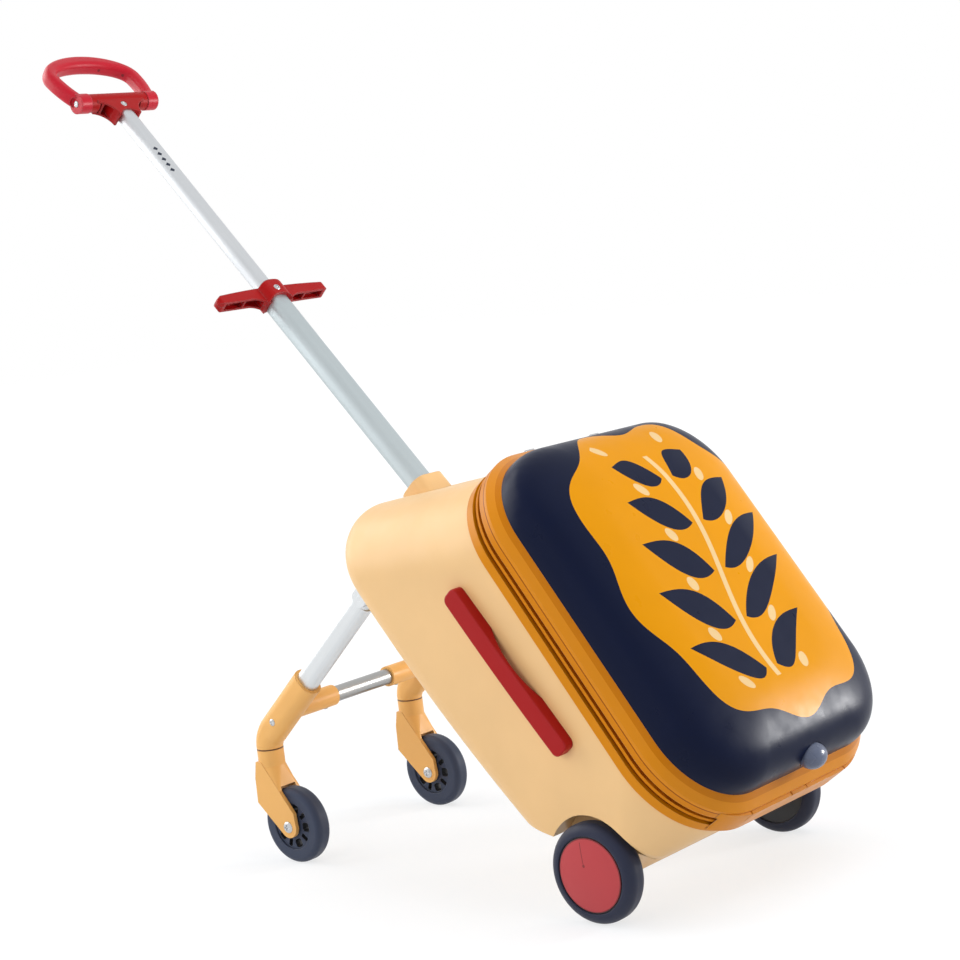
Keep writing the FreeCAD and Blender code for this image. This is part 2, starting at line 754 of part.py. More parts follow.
upper_bush_at = lower_top_at - bush_length
upper_bush = lower_bar(upper_bush_at, lower_top_at, -lower_tube_wall)
upper_bush = upper_bush.cut(upper_bar(upper_bush_at, lower_top_at, slide_gap))
upper_end_at = upper_bush_at - slide_gap - glide_length
upper_top_at = grip_at - grip_boss_r
upper_tube = upper_bar(upper_end_at, upper_top_at)
upper_tube = upper_tube.cut(upper_bar(upper_end_at, upper_top_at, -upper_tube_wall))
upper_glide = placed(
    bar(lower_tube_width, lower_tube_depth, lower_tube_round, upper_end_at, upper_end_at + glide_length,
        -lower_tube_wall - slide_gap),
    TUBE,
).cut(upper_bar(upper_end_at, upper_top_at))


def grip_base():
    """Barrel across the upper tube's top, with a flat skirt that draws in to a socket round the tube."""
    reach = grip_boss_x - grip_boss_width / 2 - slide_gap
    foot_u = -grip_boss_r - grip_socket_length
    mouth_half = upper_tube_width / 2 + grip_socket_wall
    skirt_half = reach * grip_skirt_share
    shoulder_u = -grip_base_r * 0.75
    bend_x = mouth_half + (skirt_half - mouth_half) * 0.22
    bend_u = shoulder_u + (foot_u - shoulder_u) * 0.42
    barrel = cross_rod(grip_base_r, -reach, reach, 0, 0)
    sides = (
        Part.LineSegment(vec(-skirt_half, 0, 0), vec(skirt_half, 0, 0)).toShape(),
        Part.LineSegment(vec(skirt_half, 0, 0), vec(skirt_half, 0, shoulder_u)).toShape(),
        Part.Arc(
            vec(skirt_half, 0, shoulder_u), vec(bend_x, 0, bend_u), vec(mouth_half, 0, foot_u)
        ).toShape(),
        Part.LineSegment(vec(mouth_half, 0, foot_u), vec(-mouth_half, 0, foot_u)).toShape(),
        Part.Arc(
            vec(-mouth_half, 0, foot_u), vec(-bend_x, 0, bend_u), vec(-skirt_half, 0, shoulder_u)
        ).toShape(),
        Part.LineSegment(vec(-skirt_half, 0, shoulder_u), vec(-skirt_half, 0, 0)).toShape(),
    )
    skirt = Part.Face(Part.Wire(sides)).extrude(vec(0, 2 * skirt_half_depth, 0))
    skirt = shifted(skirt, 0, -skirt_half_depth, 0)
    mouth = upper_tube_width / 2 + bar_rib
    skirt = skirt.cut(arch_tool(mouth, grip_socket_arch, grip_socket_arch + foot_u))
    pockets = []
    for side in (-1, 1):
        for x0, x1 in grip_pockets:
            a = min(side * x0, side * x1)
            half = skirt_half_depth - bar_rib
            pockets.append(block(a, a + x1 - x0, -half, half, 2 * foot_u, -grip_base_r * 0.3))
    whole = fuse(barrel, skirt).cut(Part.makeCompound(pockets))
    return placed(shifted(whole, 0, 0, grip_at), TUBE)


skirt_half_depth = grip_base_r * 0.9
handle_base = grip_base().cut(upper_bar(upper_end_at, upper_top_at))


def loop_outline(foot_x, wide_x, height):
    """Half oval on two sides that draw in towards the pivots."""
    foot_y = -grip_boss_r * 0.2
    rise = height - loop_widest
    oval = Part.Ellipse(vec(wide_x, loop_widest, 0), vec(0, loop_widest + rise, 0), vec(0, loop_widest, 0))
    top = Part.ArcOfEllipse(oval, 0, math.pi).toShape()
    draw_in = wide_x - foot_x
    drop = loop_widest - foot_y
    r = (draw_in ** 2 + drop ** 2) / (2 * draw_in)
    half_way = math.degrees(math.asin(drop / r)) / 2
    mid = vec(wide_x - r + r * cos(half_way), loop_widest - r * sin(half_way), 0)
    left = Part.Arc(vec(-wide_x, loop_widest, 0), vec(-mid.x, mid.y, 0), vec(-foot_x, foot_y, 0)).toShape()
    right = Part.Arc(vec(foot_x, foot_y, 0), mid, vec(wide_x, loop_widest, 0)).toShape()
    foot = Part.LineSegment(vec(-foot_x, foot_y, 0), vec(foot_x, foot_y, 0)).toShape()
    return Part.Wire([top, left, foot, right])


def grip_loop():
    """D shaped loop with a round boss at each end."""
    half = grip_boss_x + grip_boss_width / 2
    outer = Part.Face(loop_outline(half, loop_half_width, loop_height))
    inner = Part.Face(loop_outline(half - loop_arm, loop_half_width - loop_arm, loop_height - loop_bar))
    form = outer.cut(inner).extrude(vec(0, 0, loop_depth))
    form = form.makeFillet(loop_edge_r, [
        edge for edge in form.Edges if abs(edge.BoundBox.ZLength) < 1e-6 and edge.CenterOfMass.y > 0
    ])
    form = placed(form, FreeCAD.Placement(vec(0, loop_depth / 2, 0), turn(X_AXIS, 90)))
    bosses = []
    for side in (-1, 1):
        x = side * grip_boss_x - grip_boss_width / 2
        bosses.append(cross_rod(grip_boss_r, x, x + grip_boss_width, 0, 0))
    between = grip_boss_x - grip_boss_width / 2
    whole = fuse(form, *bosses)
    room = cross_rod(grip_boss_r + 2, -between, between, 0, 0)
    tilted = FreeCAD.Placement(vec(0, 0, grip_at), turn(X_AXIS, loop_tilt))
    return placed(placed(whole.cut(room), tilted), TUBE)


handle_loop = grip_loop()
loop_screw_list = []
loop_inner_x = grip_boss_x - grip_boss_width / 2
loop_outer_x = grip_boss_x + grip_boss_width / 2
for side in (0, 1):
    shank = cross_rod(loop_screw_r, loop_inner_x - 2 * grip_boss_r, loop_outer_x + caster_gap, 0, grip_at)
    head = cross_rod(
        2 * loop_screw_r, loop_outer_x + caster_gap, loop_outer_x + caster_gap + screw_head, 0, grip_at
    )
    pivot = fuse(shank, head)
    room = cross_rod(loop_screw_r + running_gap, loop_inner_x - slide_gap, loop_outer_x + 1, 0, grip_at)
    head_room = cross_rod(2 * loop_screw_r + 1.5, loop_outer_x, loop_outer_x + loop_arm, 0, grip_at)
    room = fuse(room, head_room)
    if side:
        pivot = mirrored(pivot)
        room = mirrored(room)
    handle_base = handle_base.cut(placed(pivot, TUBE))
    handle_loop = handle_loop.cut(placed(room, TUBE))
    loop_screw_list.append(placed(pivot, TUBE))
loop_pivot_screws = Part.makeCompound(loop_screw_list)
base_screw_seat = vec(0, base_screw_sink - skirt_half_depth, grip_at - base_screw_drop)
base_screw = placed(rod(screw_head_r, screw_head, base_screw_seat, -Y_AXIS), TUBE)
handle_base = handle_base.cut(base_screw)

# Front leg frame: local Y runs along the legs, away from the case

LEG = TUBE.multiply(FreeCAD.Placement(vec(leg_x, 0, leg_at), turn(X_AXIS, -90)))


def leg_bar(off0, off1, grow=0.0):
    """Bar along a leg between two distances from the telescopic tube's axis."""
    return placed(bar(leg_width, leg_depth, leg_round, off0, off1, grow), LEG)


def at_leg(shape):
    """From a frame with X across the leg, Y up the case and Z out along the leg."""
    return placed(shape, LEG)


leg_tube_end = leg_sleeve_start + leg_sleeve_depth
right_leg_tube = leg_bar(leg_tube_start, leg_tube_end).cut(leg_bar(leg_tube_start, leg_tube_end, -leg_wall))
pin_half = leg_width / 2 + leg_ear_gap + leg_ear
leg_pin = at_leg(cross_rod(leg_pin_r, -pin_half, pin_half, 0, leg_pin_off))
knuckle = fuse(
    cross_rod(leg_knuckle_r, -leg_width / 2, leg_width / 2, 0, leg_pin_off),
    bar(leg_width, leg_depth - 2 * leg_wall, leg_round - leg_wall, leg_pin_off + 3, leg_tube_start),
    bar(leg_width, leg_depth, leg_round, leg_tube_start, leg_tube_start + leg_knuckle_r, -leg_wall),
)
knuckle = knuckle.cut(cross_rod(leg_pin_r + running_gap, -leg_width, leg_width, 0, leg_pin_off))
right_leg_knuckle = at_leg(knuckle)

ears = []
for side in (-1, 1):
    inner_x = side * (leg_width / 2 + leg_ear_gap)
    outer_x = side * pin_half
    x0 = min(inner_x, outer_x)
    x1 = max(inner_x, outer_x)
    ears.append(cross_rod(leg_ear_r, x0, x1, 0, leg_pin_off))
    ears.append(block(x0, x1, -leg_ear_r, leg_ear_r, 0, leg_pin_off))
ear_base_top = leg_pin_off - leg_knuckle_r - 2 * leg_ear_gap
ear_base = bar(2 * pin_half + leg_ear, 2 * leg_plate_half_height, leg_ear, 0, ear_base_top)
right_leg_hinge = at_leg(fuse(ear_base, *ears)).cut(tub_outer).cut(leg_pin)

sleeve_width = leg_width + 2 * bracket_wall
sleeve_depth = leg_depth + 2 * bracket_wall
sleeve_round = leg_round + bracket_wall
swivel_y = tube_foot_y + leg_at * cos(tube_angle) + swivel_off * sin(tube_angle)


def caster_bracket():
    """Elbow from the leg's slope down to the upright swivel, with a socket for the cross tube."""
    elbow_at = swivel_off - elbow_r * tan(tube_angle / 2)
    sleeve = bar(sleeve_width, sleeve_depth, sleeve_round, leg_sleeve_start, elbow_at)
    sections = []
    for share in (0.0, 0.25, 0.5, 0.75, 1.0):
        half_width = sleeve_width / 2 * (1 - share) + caster_head_r * share
        half_depth = sleeve_depth / 2 * (1 - share) + caster_head_r * share
        section = even_outline(half_width, half_depth, min(half_width, half_depth) - 0.2, elbow_at)
        section.rotate(vec(0, elbow_r, elbow_at), X_AXIS, -tube_angle * share)
        sections.append(section)
    elbow = Part.makeLoft(sections, True, False)
    socket = cross_rod(cross_socket_r, cross_socket_end_x - leg_x, 0, cross_tube_at - leg_at, cross_tube_off)
    form = at_leg(fuse(sleeve, elbow, socket))
    low = block(leg_x - 2 * elbow_r, leg_x + 2 * elbow_r, 0, 2 * swivel_y, -elbow_r, caster_swivel_z + 3)
    head = rod(caster_head_r, elbow_r * 0.16, vec(leg_x, swivel_y, caster_swivel_z), Z_AXIS)
    return fuse(form.cut(low), head)


cross_end_x = leg_x - leg_width / 2 - bracket_wall


def cross_bar(grow):
    form = cross_rod(cross_tube_r + grow, -cross_end_x, cross_end_x, cross_tube_off, cross_tube_at)
    return placed(form, TUBE)


cross_tube = cross_bar(0).cut(cross_bar(-cross_tube_wall))
swivel_pin = rod(
    swivel_pin_r,
    swivel_pin_in_fork + swivel_pin_in_bracket,
    vec(leg_x, swivel_y, caster_swivel_z - swivel_pin_in_fork),
    Z_AXIS,
)
right_caster_bracket = caster_bracket().cut(leg_bar(leg_sleeve_start, leg_tube_end)).cut(cross_bar(0))
right_caster_bracket = right_caster_bracket.cut(swivel_pin)
bracket_screw_seats = (
    (0, leg_tube_end + 2 * screw_head_r + cross_socket_r),
)
bracket_screw_list = []
for height, off in bracket_screw_seats:
    head = cross_rod(screw_head_r, sleeve_width / 2, sleeve_width / 2 + screw_head, height, off)
    bracket_screw_list.append(at_leg(head))
socket_low = cross_bar(0).BoundBox.ZMin - (cross_socket_r - cross_tube_r)
socket_y = cross_bar(0).BoundBox.Center.y
bracket_screw_list.append(
    rod(socket_screw_r, screw_head + 1, vec(socket_screw_x, socket_y, socket_low + 1), -Z_AXIS)
)
right_caster_bracket = right_caster_bracket.cut(bracket_screw_list[-1])
bracket_screws = Part.makeCompound(bracket_screw_list + [mirrored(s) for s in bracket_screw_list])

# Casters

caster_y = swivel_y - caster_trail
caster_half = caster_wheel_width / 2
arm_in = caster_half + fork_side_gap
arm_out = arm_in + fork_arm


def fork():
    """Round head that widens into a crown over the wheel, and two blades down to its axle."""
    top = caster_swivel_z - caster_gap
    head_low = top - caster_head_height
    blade_top = head_low + 5
    crown_low = 2 * caster_wheel_r - 3
    rear_top = (swivel_y + caster_head_r * 0.12, blade_top)
    rear_low = (caster_y - fork_end_r * 0.88, caster_wheel_r + fork_end_r * 1.3)
    share = (crown_low - rear_low[1]) / (rear_top[1] - rear_low[1])
    crown_rear = rear_low[0] + share * (rear_top[0] - rear_low[0])
    front_top = (swivel_y + caster_head_r * 0.66, blade_top)
    front_mid = (swivel_y + caster_head_r * 0.92, blade_top - caster_head_height)
    front_low = (swivel_y + caster_head_r * 0.96, caster_wheel_r + 2 * fork_end_r)
    head = rod(caster_head_r, caster_head_height, vec(0, swivel_y, head_low), Z_AXIS)
    round_r = caster_head_r - 0.1
    head_rear = swivel_y - caster_head_r
    head_front = swivel_y + caster_head_r
    crown_top = outline(caster_head_r, head_rear, head_front, round_r, round_r, head_low)
    crown_foot = outline(arm_out, crown_rear, front_mid[0], 2, 3, crown_low)
    crown = Part.makeLoft([crown_top, crown_foot], True, True)
    slot = cross_rod(caster_wheel_r + fork_crown_room, -arm_in, arm_in, caster_y, caster_wheel_r)
    solids = [head, crown.cut(slot)]
    blade = (
        rear_top,
        front_top,
        front_mid,
        front_low,
        (caster_y + fork_end_r * 0.673, caster_wheel_r - fork_end_r * 0.74),
        (caster_y - fork_end_r * 0.989, caster_wheel_r - fork_end_r * 0.146),
        rear_low,
    )
    for side in (-1, 1):
        x0 = min(side * arm_in, side * arm_out)
        solids.append(plate(blade, x0, x0 + fork_arm))
        solids.append(cross_rod(fork_end_r, x0, x0 + fork_arm, caster_y, caster_wheel_r))
    return shifted(fuse(*solids), leg_x, 0, 0)


def at_caster_wheel(shape):
    return shifted(shape, leg_x, caster_y, caster_wheel_r)


caster_bolt = fuse(
    cross_rod(caster_axle_r, -arm_out, arm_out, 0, 0),
    cross_rod(caster_bolt_head_r, arm_out, arm_out + bolt_head, 0, 0),
    cross_rod(caster_bolt_head_r, -arm_out - bolt_head, -arm_out, 0, 0),
)
right_caster_bolt = at_caster_wheel(caster_bolt)
pin_room = rod(
    swivel_pin_r + running_gap,
    swivel_pin_in_fork + caster_gap,
    vec(leg_x, swivel_y, caster_swivel_z - swivel_pin_in_fork - caster_gap),
    Z_AXIS,
)
right_fork = fork().cut(right_caster_bolt).cut(pin_room)
right_caster_tyre = at_caster_wheel(
    ring_of_revolution(caster_half, caster_rim_r, caster_wheel_r, 0.8, caster_shoulder_r)
)


def caster_hub():
    """Wheel disc pierced between its spokes."""
    disc = ring_of_revolution(caster_half - 2, caster_axle_r + running_gap, caster_rim_r, 0.5, 0.5)
    boss = cross_rod(caster_hub_r, -caster_half - fork_side_gap / 2, caster_half + fork_side_gap / 2, 0, 0)
    boss = boss.cut(cross_rod(caster_axle_r + running_gap, -caster_half * 2, caster_half * 2, 0, 0))
    windows = []
    for half in (caster_window / 2, caster_window_wide / 2):
        window = Part.Face(outline(half, caster_window_in, caster_window_out, half * 0.6, half * 0.6, 0))
        window = shifted(window.extrude(vec(0, 0, 2 * caster_wheel_width)), 0, 0, -caster_wheel_width)
        windows.append(placed(window, FreeCAD.Placement(vec(0, 0, 0), turn(Y_AXIS, 90))))
    for i in range(caster_spokes):
        tilt = FreeCAD.Placement(vec(0, 0, 0), turn(X_AXIS, 360 / caster_spokes * i))
        disc = disc.cut(placed(windows[i % 2], tilt))
    return disc.fuse(boss).removeSplitter()


right_caster_hub = at_caster_wheel(caster_hub())

pieces = {
    "body_shell": body_shell,
    "body_rim": body_rim,
    "rim_seal": rim_seal,
    "tube_collar": tube_collar,
    "guide_tube": guide_tube,
    "guide_bush": guide_bush,
    "guide_foot": guide_foot,
    "carry_handle_screws": carry_handle_screws,
    "axle_beam": axle_beam,
    "rear_axle": rear_axle,
    "body_hinge_leaves": body_hinge_leaves,
    "lid_hinge_pins": lid_hinge_pins,
    "lid_hinge_leaves": lid_hinge_leaves,
    "lid_rim": lid_rim,
    "lid_shell": lid_shell,
    "latch_cover": latch_cover_piece,
    "latch_cup": latch_cup,
    "latch_knob": latch_knob,
    "lower_tube": lower_tube,
    "lower_glide": lower_glide,
    "upper_bush": upper_bush,
    "crossbar_front": crossbar_front,
    "crossbar_rear": crossbar_rear,
    "crossbar_screws": crossbar_screws,
    "upper_tube": upper_tube,
    "upper_glide": upper_glide,
    "handle_base": handle_base,
    "handle_base_screw": base_screw,
    "loop_pivot_screws": loop_pivot_screws,
    "handle_loop": handle_loop,
    "cross_tube": cross_tube,
    "bracket_screws": bracket_screws,
}
paired = {
    "carry_handle": right_carry_handle,
    "leg_hinge": right_leg_hinge,
    "leg_hinge_pin": leg_pin,
    "leg_knuckle": right_leg_knuckle,
    "leg_tube": right_leg_tube,
    "caster_bracket": right_caster_bracket,
    "swivel_pin": swivel_pin,
    "fork": right_fork,
    "caster_bolt": right_caster_bolt,
    "caster_tyre": right_caster_tyre,
    "caster_hub": right_caster_hub,
    "rear_tyre": right_rear_tyre,
    "rear_hub": right_rear_hub,
    "hub_cap": right_hub_cap,
}
for name, shape in paired.items():
    pieces["right_" + name] = shape
    pieces["left_" + name] = mirrored(shape)

os.makedirs("parts", exist_ok=True)
for name, shape in pieces.items():
    shifted(shape, 0, -origin_ahead_of_axle, 0).exportStep("parts/" + name + ".step")
    print(name, len(shape.Solids), round(shape.Volume / 1000, 2), shape.isValid())
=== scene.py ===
import math

import bpy
from mathutils import Matrix, Vector


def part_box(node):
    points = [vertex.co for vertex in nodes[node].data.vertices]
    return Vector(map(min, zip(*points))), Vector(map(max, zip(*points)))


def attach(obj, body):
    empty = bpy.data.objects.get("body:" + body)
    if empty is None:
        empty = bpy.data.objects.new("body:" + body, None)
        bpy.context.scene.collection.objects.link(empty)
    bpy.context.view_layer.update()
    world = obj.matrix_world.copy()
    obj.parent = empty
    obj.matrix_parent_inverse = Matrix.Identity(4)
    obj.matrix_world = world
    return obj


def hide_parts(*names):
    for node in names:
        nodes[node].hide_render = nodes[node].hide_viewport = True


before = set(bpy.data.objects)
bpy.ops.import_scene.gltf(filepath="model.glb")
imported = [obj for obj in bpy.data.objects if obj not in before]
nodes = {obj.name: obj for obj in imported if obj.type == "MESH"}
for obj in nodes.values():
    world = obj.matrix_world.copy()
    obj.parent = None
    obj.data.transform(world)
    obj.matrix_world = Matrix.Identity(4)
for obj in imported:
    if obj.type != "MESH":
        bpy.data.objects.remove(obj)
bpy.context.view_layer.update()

# Tub
# A deep injection moulding in cream plastic with a satin skin. The spark-eroded mould leaves
# a fine grain, and a slightly paler line is painted along its edges as a highlight.


def srgb(red, green, blue):
    """Linear colour of an 8-bit colour as the eye sees it on the object."""
    parts = [v / 255 for v in (red, green, blue)]
    return [v / 12.92 if v <= 0.04045 else ((v + 0.055) / 1.055) ** 2.4 for v in parts] + [1]


def step(tree, kind, **settings):
    """One shader node. A setting that names a socket sets that socket."""
    made = tree.nodes.new("ShaderNode" + kind)
    for name, value in settings.items():
        label = name.replace("_", " ").title()
        if label in made.inputs:
            made.inputs[label].default_value = value
        else:
            setattr(made, name, value)
    return made


def feed(tree, socket, value):
    """Puts a value on a socket, or links another socket to it."""
    if isinstance(value, bpy.types.NodeSocket):
        tree.links.new(value, socket)
    else:
        socket.default_value = value


def calc(tree, operation, *values):
    """One sum on numbers and sockets."""
    made = step(tree, "Math", operation=operation)
    for socket, value in zip(made.inputs, values):
        feed(tree, socket, value)
    return made.outputs[0]


def mix_colour(tree, factor, under, over, blend="MIX"):
    """Colour over, laid on colour under by a factor."""
    made = step(tree, "Mix", data_type="RGBA", blend_type=blend)
    for value, number in ((factor, 0), (under, 6), (over, 7)):
        feed(tree, made.inputs[number], value)
    return made.outputs[2]


def soft_edges(tree, radius):
    """Normals rounded over the piece's edges, and a mask that is 1 along them."""
    rounded = step(tree, "Bevel", radius=radius, samples=4)
    flat = step(tree, "NewGeometry")
    turn = step(tree, "VectorMath", operation="DOT_PRODUCT")
    tree.links.new(rounded.outputs["Normal"], turn.inputs[0])
    tree.links.new(flat.outputs["Normal"], turn.inputs[1])
    mask = step(tree, "MapRange", from_min=0.985, from_max=0.80)
    tree.links.new(turn.outputs["Value"], mask.inputs["Value"])
    return rounded.outputs["Normal"], mask.outputs["Result"]


def moulded_plastic(
    name, colour, roughness, grain=0.12, edge_light=0.3, shine=0.4, paint=None, edge=0.0008
):
    """Moulded plastic with faint flow clouds, a fine grain, handling marks and a painted highlight along
    its edges.
    """
    material = bpy.data.materials.new(name)
    material.use_nodes = True
    tree = material.node_tree
    shader = tree.nodes["Principled BSDF"]
    shader.inputs["IOR"].default_value = 1.49
    shader.inputs["Specular IOR Level"].default_value = shine
    place = step(tree, "TexCoord").outputs["Object"]
    clouds = step(tree, "TexNoise", scale=13, detail=3)
    skin = step(tree, "TexNoise", scale=1400, detail=2)
    touch = step(tree, "TexNoise", scale=55, detail=5)
    for texture in (clouds, skin, touch):
        tree.links.new(place, texture.inputs["Vector"])
    normal, mask = soft_edges(tree, edge)
    base = paint(tree, place, colour) if paint else colour
    shade = step(tree, "MapRange", from_min=0.3, from_max=0.7, to_min=0.96, to_max=1.02)
    tree.links.new(clouds.outputs["Fac"], shade.inputs["Value"])
    tinted = mix_colour(tree, 1.0, base, shade.outputs["Result"], "MULTIPLY")
    # Edges are painted paler as a highlight where the mask runs along them.
    highlight_colour = [0.75 * v + 0.25 for v in colour[:3]] + [1]
    highlight_share = calc(tree, "MULTIPLY", mask, edge_light)
    tree.links.new(mix_colour(tree, highlight_share, tinted, highlight_colour), shader.inputs["Base Color"])
    dull = step(tree, "MapRange", from_min=0.3, from_max=0.7)
    dull.inputs["To Min"].default_value = roughness - 0.05
    dull.inputs["To Max"].default_value = roughness + 0.06
    tree.links.new(touch.outputs["Fac"], dull.inputs["Value"])
    tree.links.new(dull.outputs["Result"], shader.inputs["Roughness"])
    bump = step(tree, "Bump", strength=grain, distance=0.0002)
    tree.links.new(skin.outputs["Fac"], bump.inputs["Height"])
    tree.links.new(normal, bump.inputs["Normal"])
    tree.links.new(bump.outputs["Normal"], shader.inputs["Normal"])
    return material


def dress(material, *names):
    """Gives the named CAD nodes this material."""
    for name in names:
        nodes[name].data.materials.clear()
        nodes[name].data.materials.append(material)


cream_colour = srgb(234, 191, 132)
cream = moulded_plastic("cream_tub", cream_colour, 0.4, shine=0.5)
dress(cream, "body_shell", "tube_collar")

# Body rim and seal
# The tub's edge is capped by an orange moulded rim. A seal sits in the seam, and the lid
# closes on its orange ridge. The seal's grooves beside the ridge are painted red brown as shade.


def measured(tree, place, origin, lean):
    """Millimetres along the three axes of a frame that leans about X."""
    turned = step(tree, "Mapping", vector_type="TEXTURE")
    turned.inputs["Location"].default_value = origin
    turned.inputs["Rotation"].default_value = (lean, 0, 0)
    turned.inputs["Scale"].default_value = (0.001, 0.001, 0.001)
    tree.links.new(place, turned.inputs["Vector"])
    split = step(tree, "SeparateXYZ")
    tree.links.new(turned.outputs["Vector"], split.inputs[0])
    return split.outputs


def between(tree, value, low, high):
    """1 where a value lies between two limits."""
    above = calc(tree, "GREATER_THAN", value, low)
    return calc(tree, "MULTIPLY", above, calc(tree, "LESS_THAN", value, high))


orange = moulded_plastic("orange_rim", srgb(210, 130, 2), 0.34, grain=0.06, shine=0.15)
dress(orange, "body_rim")
seam_place = (0, -0.2967, 0.2486)
seam_lean = math.radians(54.3)
ridge_span = (14.15, 17.55)


def seal_ridge(tree, place, colour):
    """Orange on the seal's ridge and red brown painted shade in its grooves, by millimetres off the tub's
    edge.
    """
    off_seam = measured(tree, place, seam_place, seam_lean)[2]
    return mix_colour(tree, between(tree, off_seam, *ridge_span), colour, srgb(206, 124, 8))


# Red brown is painted as the shade in the seal's grooves beside the ridge.
groove_shade_brown = srgb(128, 54, 0)
seal = moulded_plastic(
    "seal_with_groove_shade", groove_shade_brown, 0.55, grain=0.25, edge_light=0.1, shine=0.1, paint=seal_ridge
)
dress(seal, "rim_seal")

# Guide tube of the telescopic handle
# An aluminium tube fixed in the tub between a foot and a slippery black bush, drawn so that
# fine lines run along it.
tube_foot = (0, -0.3627, 0)
tube_lean = math.radians(-42.3)


def drawn_metal(name, colour, lean, stretch, roughness, paint=None):
    """Drawn or turned metal: fine lines along one axis of a frame that leans about X, and a painted
    highlight along its edges.
    """
    material = bpy.data.materials.new(name)
    material.use_nodes = True
    tree = material.node_tree
    shader = tree.nodes["Principled BSDF"]
    shader.inputs["Metallic"].default_value = 1
    place = step(tree, "TexCoord").outputs["Object"]
    along = step(tree, "Mapping", vector_type="TEXTURE")
    along.inputs["Rotation"].default_value = (lean, 0, 0)
    along.inputs["Scale"].default_value = stretch
    tree.links.new(place, along.inputs["Vector"])
    grain = step(tree, "TexNoise", scale=1, detail=3)
    tree.links.new(along.outputs["Vector"], grain.inputs["Vector"])
    dust = step(tree, "TexNoise", scale=30, detail=4)
    tree.links.new(place, dust.inputs["Vector"])
    normal, mask = soft_edges(tree, 0.0006)
    base = paint(tree, place, colour) if paint else colour
    shade = step(tree, "MapRange", from_min=0.3, from_max=0.7, to_min=0.96, to_max=1.02)
    tree.links.new(grain.outputs["Fac"], shade.inputs["Value"])
    tinted = mix_colour(tree, 1.0, base, shade.outputs["Result"], "MULTIPLY")
    # Edges are painted brighter as a highlight where the mask runs along them.
    metal_highlight = [min(1, v * 1.2) for v in colour[:3]] + [1]
    tree.links.new(mix_colour(tree, mask, tinted, metal_highlight), shader.inputs["Base Color"])
    dull = step(tree, "MapRange", from_min=0.3, from_max=0.7)
    dull.inputs["To Min"].default_value = roughness - 0.05
    dull.inputs["To Max"].default_value = roughness + 0.08
    tree.links.new(dust.outputs["Fac"], dull.inputs["Value"])
    tree.links.new(dull.outputs["Result"], shader.inputs["Roughness"])
    bump = step(tree, "Bump", strength=0.04, distance=0.0001)
    tree.links.new(grain.outputs["Fac"], bump.inputs["Height"])
    tree.links.new(normal, bump.inputs["Normal"])
    tree.links.new(bump.outputs["Normal"], shader.inputs["Normal"])
    return material


silver = srgb(190, 199, 202)
fine_lines = 0.0006
long_lines = 0.08
tube_stretch = (fine_lines, fine_lines, long_lines)
tube_metal = drawn_metal("handle_tube", silver, tube_lean, tube_stretch, 0.5)
dress(tube_metal, "guide_tube")
black = moulded_plastic("black_bush", srgb(48, 50, 55), 0.5)
dress(black, "guide_bush", "guide_foot")

# Carry handles
# A bowed strap of red plastic on each side wall, held from inside by two screws.
red_colour = srgb(162, 10, 12)
red = moulded_plastic("red_grip", red_colour, 0.42, shine=0.2, edge=0.002)
dress(red, "left_carry_handle", "right_carry_handle")
steel = drawn_metal("plain_steel", srgb(196, 198, 200), 0, (0.0008, 0.0008, 0.0008), 0.3)
dress(steel, "carry_handle_screws")

# Rear axle and wheels
# A steel axle in a beam under the tub. Each wheel is a black hub with a navy tyre and a
# domed red cap. The gate of the mould leaves a short line and a dot on the cap, and the cap's
# outer edge is painted darker as shade.
dress(cream, "axle_beam")
dress(steel, "rear_axle")


def rubber(name, colour, paint=None):
    """Dense moulded rubber: dusty clouds, a fine grain and little shine."""
    material = moulded_plastic(name, colour, 0.55, grain=0.25, edge_light=0.12, shine=0.3, paint=paint)
    shader = material.node_tree.nodes["Principled BSDF"]
    shader.inputs["Sheen Weight"].default_value = 0.1
    shader.inputs["Sheen Roughness"].default_value = 0.5
    return material


rear_rubber = rubber("rear_tyre", srgb(32, 37, 58))
dress(rear_rubber, "left_rear_tyre", "right_rear_tyre")
dress(black, "left_rear_hub", "right_rear_hub")
tyre_low, tyre_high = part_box("left_rear_tyre")
axle_place = (0, (tyre_low[1] + tyre_high[1]) / 2, (tyre_low[2] + tyre_high[2]) / 2)
gate_start = (7.8, 31.5)
gate_dot = (3.7, 9.7)
gate_half_width = 0.45
gate_dot_r = 1.5
cap_shade_r = 35.0


